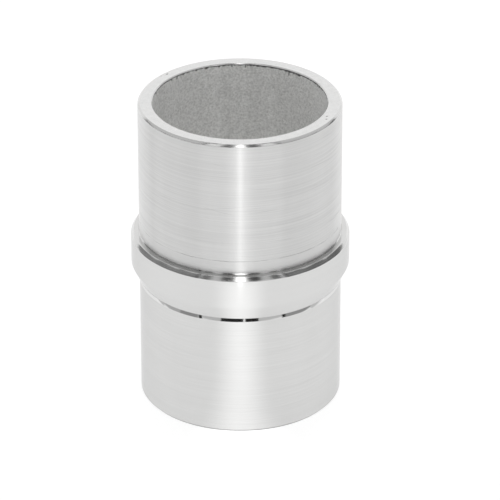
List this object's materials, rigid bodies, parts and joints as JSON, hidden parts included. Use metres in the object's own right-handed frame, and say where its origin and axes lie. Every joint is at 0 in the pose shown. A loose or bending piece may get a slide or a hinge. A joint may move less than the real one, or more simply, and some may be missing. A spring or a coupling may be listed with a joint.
{
  "type": "tube connector",
  "caption": "Hollow stainless steel connector for round tube: two equal plain spigots either side of a wider centre collar with a bevelled shoulder and a tapered underside.",
  "frame": {"origin": "centre of the lower rim, on the surface that the part stands on", "axes": "+Z along the bore axis, from the lower spigot up to the upper spigot; X and Y are any two directions across it, because the part is round"},
  "size_m": [0.0424, 0.0424, 0.0617],
  "materials": {
    "turned_steel": "fine turned, dull, with a raw rough bore",
    "polished_steel": "polished",
    "satin_polished_steel": "polished with faint scratches"
  },
  "bodies": {
    "root": {"upper_spigot": "turned_steel", "collar_ring": "polished_steel", "lower_spigot": "satin_polished_steel"}
  },
  "joints": []
}
